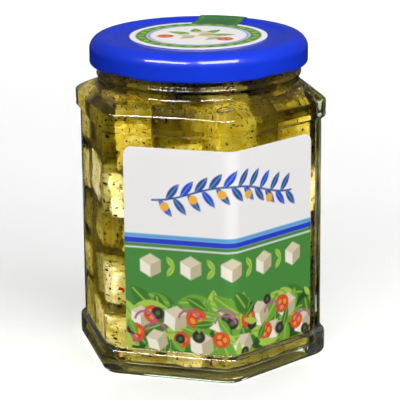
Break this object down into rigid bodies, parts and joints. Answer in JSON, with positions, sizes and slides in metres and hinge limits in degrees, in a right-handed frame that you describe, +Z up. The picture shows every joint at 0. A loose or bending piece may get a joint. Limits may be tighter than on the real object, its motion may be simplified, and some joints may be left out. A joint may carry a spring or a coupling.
{
  "type": "jar of feta cubes in oil",
  "caption": "Shut hexagonal glass jar of feta cheese cubes in herbed oil, with a blue twist-off lid, a wrap label and a paper lid seal.",
  "frame": {"origin": "middle of the base, on the plane that the jar stands on", "axes": "+Z up along the jar's axis; -Y out of the labelled front panel; +X towards a corner edge, to the right seen from the front"},
  "size_m": [0.0784, 0.07, 0.0987],
  "materials": {
    "clear_glass": "clear, glossy",
    "blue_lacquer": "glossy blue lacquer on sheet steel",
    "feta_cheese": "moist, crumbly, oiled",
    "printed_label": "satin printed paper",
    "printed_seal": "satin printed paper"
  },
  "bodies": {
    "root": {"glass_jar": "clear_glass", "twist_lid": "blue_lacquer", "feta_heap": "feta_cheese", "panel_label": "printed_label", "lid_label": "printed_seal"}
  },
  "joints": []
}
